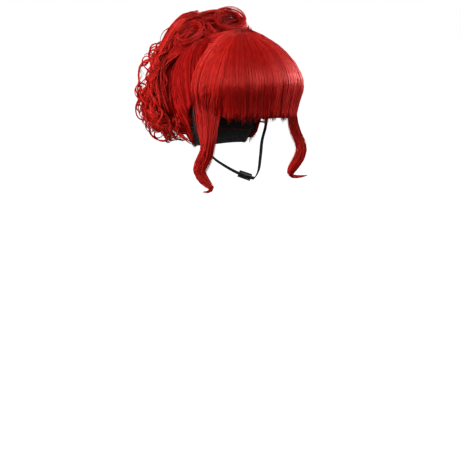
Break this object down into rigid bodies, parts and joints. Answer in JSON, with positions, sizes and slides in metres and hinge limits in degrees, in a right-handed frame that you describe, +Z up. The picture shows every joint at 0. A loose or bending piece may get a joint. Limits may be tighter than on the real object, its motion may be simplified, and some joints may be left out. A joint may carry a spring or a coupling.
{
  "type": "cosplay wig",
  "caption": "Red wig with a full straight fringe, waved side locks and a curly updo with rolled rose curls, on a stretch cap with an elastic chin strap and slider.",
  "frame": {"origin": "the point inside the top of the cap that rests on the crown of the wearer's head", "axes": "+Z up, the face looks along -Y, +X towards the wearer's left"},
  "size_m": [0.2169, 0.3425, 0.2937],
  "materials": {
    "hair": "glossy red synthetic fibre",
    "cap_knit": "black stretch net",
    "elastic": "black woven elastic",
    "slider_plastic": "black satin plastic"
  },
  "bodies": {
    "root": {"cap": "cap_knit", "fringe": "hair", "swept_hair": "hair", "side_lock_right": "hair", "side_lock_left": "hair", "curl_mass": "hair", "rose_curl_front": "hair", "rose_curl_right": "hair", "rose_curl_rear_right": "hair", "rose_curl_left": "hair", "rose_curl_rear_left": "hair", "edge_band": "elastic", "chin_strap": "elastic", "strap_tie_right": "elastic", "strap_tie_left": "elastic", "strap_slider": "slider_plastic"}
  },
  "joints": []
}
